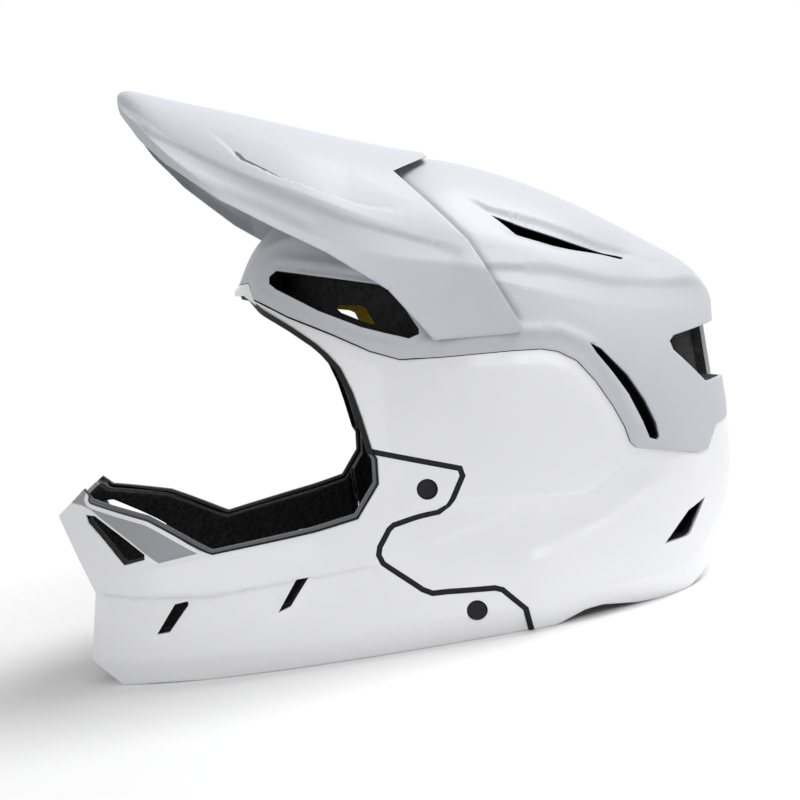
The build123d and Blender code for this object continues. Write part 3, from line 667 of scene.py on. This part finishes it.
foamLongest = 0.006
hardParts = {
    "fit_dial": {"piece": "fitDial", "edge": 0.0005},
    "dial_housing": {"piece": "dialHousing", "edge": 0.0010},
    "eyeport_trim": {"piece": "eyeportTrim", "edge": 0.0005, "tuck": 0.0040, "over": 0.016},
    "button_upper_left": {"piece": "buttonUpperLeft", "edge": 0.0002},
    "button_upper_right": {"piece": "buttonUpperRight", "edge": 0.0002},
    "button_lower_left": {"piece": "buttonLowerLeft", "edge": 0.0002},
    "button_lower_right": {"piece": "buttonLowerRight", "edge": 0.0002},
    "eps_liner": {"piece": "crownLiner", "edge": 0.0012, "folds": roofFolds},
    "eps_side_liner": {"piece": "lowerLiner", "edge": 0.0012, "folds": sideFolds},
    "chin_bar_foam": {"piece": "chinBarFoam", "edge": 0.0014, "folds": sideFolds},
    "chin_bar_sockets": {"piece": "chinBarSockets", "edge": 0.0005, "folds": sideFolds},
    "latch_blocks": {"piece": "latchBlocks", "edge": 0.0003, "folds": sideFolds},
}


def tuckFront(piece, depth, over):
    # the foremost stretch is drawn back, so that it lies behind the edge of the shell
    spots = cornersOf(piece.data)
    front = eased((spots[:, 0].min() + over - spots[:, 0]) / over)
    spots[:, 0] += depth * front
    piece.data.vertices.foreach_set("co", spots.ravel())


for nodeName, settings in hardParts.items():
    piece = mergedCopy(nodeName, settings["piece"])
    roundEdges(piece, settings["edge"])
    if "folds" in settings:
        refine(piece, foamLongest)
        pressFolds(piece, settings["folds"])
    if "tuck" in settings:
        tuckFront(piece, settings["tuck"], settings["over"])
    finishPiece(piece, nodeName, "hard")
for piece in frame["nodes"].values():
    smooth(piece, "node")
print("hard parts rounded")


# Soft goods: knit over foam, swollen by a short cloth run

pads = {
    "brow_pad": {"piece": "browPad", "cell": 0.0035, "start": 0.0008, "cap": 0.0030, "fill": 0.6},
    "crown_pad": {"piece": "crownPad", "cell": 0.0035, "start": 0.0008, "cap": 0.0030, "fill": 0.5},
    "side_pads": {"piece": "sidePads", "cell": 0.0035, "start": 0.0008, "cap": 0.0025, "fill": 0.5},
    "nape_pad": {"piece": "napePad", "cell": 0.0035, "start": 0.0008, "cap": 0.0025, "fill": 0.6},
    "cheek_pad_left": {
        "piece": "cheekPadLeft", "cell": 0.0045, "start": 0.0025, "cap": 0.0060, "fill": 0.8,
    },
    "cheek_pad_right": {
        "piece": "cheekPadRight", "cell": 0.0045, "start": 0.0025, "cap": 0.0060, "fill": 0.8,
    },
}
swelling = {"frames": 18, "quality": 5, "pressure": 4, "softening": 0.5, "softenTurns": 4}


def swell(piece, cap):
    cloth = piece.modifiers.new("swell", "CLOTH")
    cloth.settings.quality = swelling["quality"]
    cloth.settings.use_pressure = True
    cloth.settings.uniform_pressure_force = swelling["pressure"]
    cloth.settings.effector_weights.gravity = 0
    before = cornersOf(piece.data)
    for step in range(1, swelling["frames"] + 1):
        scene.frame_set(step)
    shaped = piece.evaluated_get(bpy.context.evaluated_depsgraph_get()).to_mesh()
    moved = cornersOf(shaped) - before
    size = np.linalg.norm(moved, axis=1)[:, None]
    moved *= np.minimum(1, cap / np.maximum(size, 1e-9))
    piece.modifiers.remove(cloth)
    piece.data.vertices.foreach_set("co", (before + moved).ravel())
    piece.data.update()
    scene.frame_set(1)


for nodeName, settings in pads.items():
    piece = mergedCopy(nodeName, settings["piece"])
    remesh = piece.modifiers.new("cells", "REMESH")
    remesh.mode = "VOXEL"
    remesh.voxel_size = settings["cell"]
    soften = piece.modifiers.new("soften", "SMOOTH")
    soften.factor = swelling["softening"]
    soften.iterations = swelling["softenTurns"]
    drawIn = piece.modifiers.new("drawIn", "DISPLACE")
    drawIn.strength = -settings["start"]
    drawIn.mid_level = 0
    applyAll(piece)
    swell(piece, settings["cap"])
    rounder = piece.modifiers.new("rounder", "SUBSURF")
    rounder.levels = 1
    rounder.render_levels = 1
    applyAll(piece)
    finishPiece(piece, nodeName, "pad")
print("pads swollen")


# Return springs of the release buttons, wound wire

spring = {
    "turns": 4, "steps": 14, "wire": 0.00035, "radius": 0.0033, "depth": 0.0023,
    "capThickness": 0.0026, "pressed": 0.11,
}


def addSpring(place, side):
    name = f"button_{place}_{side}"
    buttonLow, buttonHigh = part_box(name)
    middle = (buttonLow + buttonHigh) / 2
    sign = -1 if side == "left" else 1
    outerFace = buttonLow.y if side == "left" else buttonHigh.y
    capBack = outerFace - sign * spring["capThickness"]
    radius = spring["radius"]
    points = []
    count = spring["turns"] * spring["steps"]
    for step in range(count + 1):
        turn = 2 * math.pi * step / spring["steps"]
        reach = spring["wire"] + (spring["depth"] - 2 * spring["wire"]) * step / count
        points.append((
            middle.x + radius * math.cos(turn), capBack - sign * reach, middle.z + radius * math.sin(turn),
        ))
    data = bpy.data.curves.new(f"spring_{place}_{side}", "CURVE")
    data.dimensions = "3D"
    data.bevel_depth = spring["wire"]
    data.bevel_resolution = 2
    data.use_fill_caps = True
    line = data.splines.new("POLY")
    line.points.add(len(points) - 1)
    for point, spot in zip(line.points, points):
        point.co = (*spot, 1)
    wire = bpy.data.objects.new(f"spring_{place}_{side}", data)
    scene.collection.objects.link(wire)
    activate(wire)
    bpy.ops.object.convert(target="MESH")
    wire = bpy.context.object
    finishPiece(wire, "button_springs", "wire")
    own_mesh(wire)


for place in ("upper", "lower"):
    for side in ("left", "right"):
        addSpring(place, side)
print("springs wound")


# Studio


view = {
    "place": (-40.1, -760.0, 160.5), "aim": (7.0, 0.0, 115.0), "tilt": 11, "lens": 62.5, "sensor": 36,
}


def addCamera():
    tilt = math.radians(view["tilt"])
    place = Vector(view["place"]) * mm
    aim = Vector(view["aim"]) * mm
    data = bpy.data.cameras.new("camera")
    data.lens = view["lens"]
    data.sensor_width = view["sensor"]
    camera = bpy.data.objects.new("camera", data)
    scene.collection.objects.link(camera)
    forward = (aim - place).normalized()
    upright = Vector((math.sin(tilt), 0, math.cos(tilt)))
    right = forward.cross(upright).normalized()
    upright = right.cross(forward)
    turn = Matrix((right, upright, -forward)).transposed()
    camera.matrix_world = Matrix.Translation(place) @ turn.to_4x4()
    scene.camera = camera


lampAim = Vector((0, 0, 0.12))
lamps = {
    "keyLamp": {"place": (0.5, -1.6, 1.4), "size": 1.3, "power": 9},
    "topLamp": {"place": (1.0, 0.0, 1.7), "size": 0.9, "power": 27},
    "fillLamp": {"place": (-1.2, -1.3, 0.3), "size": 1.2, "power": 4},
}


def addLamp(name, settings):
    data = bpy.data.lights.new(name, "AREA")
    data.size = settings["size"]
    data.energy = settings["power"]
    lamp = bpy.data.objects.new(name, data)
    scene.collection.objects.link(lamp)
    lamp.location = settings["place"]
    lamp.rotation_euler = (lampAim - Vector(settings["place"])).to_track_quat("-Z", "Y").to_euler()


worldLevel = 0.37


def addWorld():
    # the camera and glossy surfaces see white, the object is lit at a lower level
    world = bpy.data.worlds.new("studio")
    scene.world = world
    world.use_nodes = True
    tree = world.node_tree
    tree.nodes.clear()
    path = node(tree, "ShaderNodeLightPath", {}, {})
    seen = path[0].maths("MAXIMUM", path[0], path[3])
    strength = worldLevel + seen * (1 - worldLevel)
    background = node(tree, "ShaderNodeBackground", {}, {"Color": (1, 1, 1, 1), "Strength": strength})[0]
    node(tree, "ShaderNodeOutputWorld", {}, {"Surface": background})


ground = {"radius": 1.6, "level": -0.0002, "tone": (0.95, 0.95, 0.95, 1), "solidTo": 0.21, "goneAt": 0.55}


def addFloor():
    # it fades out round the object, so that only the shadow shows against the white
    bpy.ops.mesh.primitive_circle_add(
        vertices=96, radius=ground["radius"], fill_type="TRIFAN", location=(0, 0, ground["level"]),
    )
    floor = bpy.context.object
    floor.name = "floor"
    material, tree, shader, place = startMaterial("floorWhite", ground["tone"], Roughness=0.9)
    far = node(tree, "ShaderNodeVectorMath", {"operation": "LENGTH"}, {0: place})[1]
    span = {"From Min": ground["solidTo"], "From Max": ground["goneAt"], "To Min": 1.0, "To Max": 0.0}
    fade = node(tree, "ShaderNodeMapRange", {"clamp": True}, {"Value": far, **span})[0]
    tree.links.new(fade.socket, shader.inputs["Alpha"])
    floor.data.materials.append(material)


addCamera()
addWorld()
for name, settings in lamps.items():
    addLamp(name, settings)
addFloor()
print("studio ready")
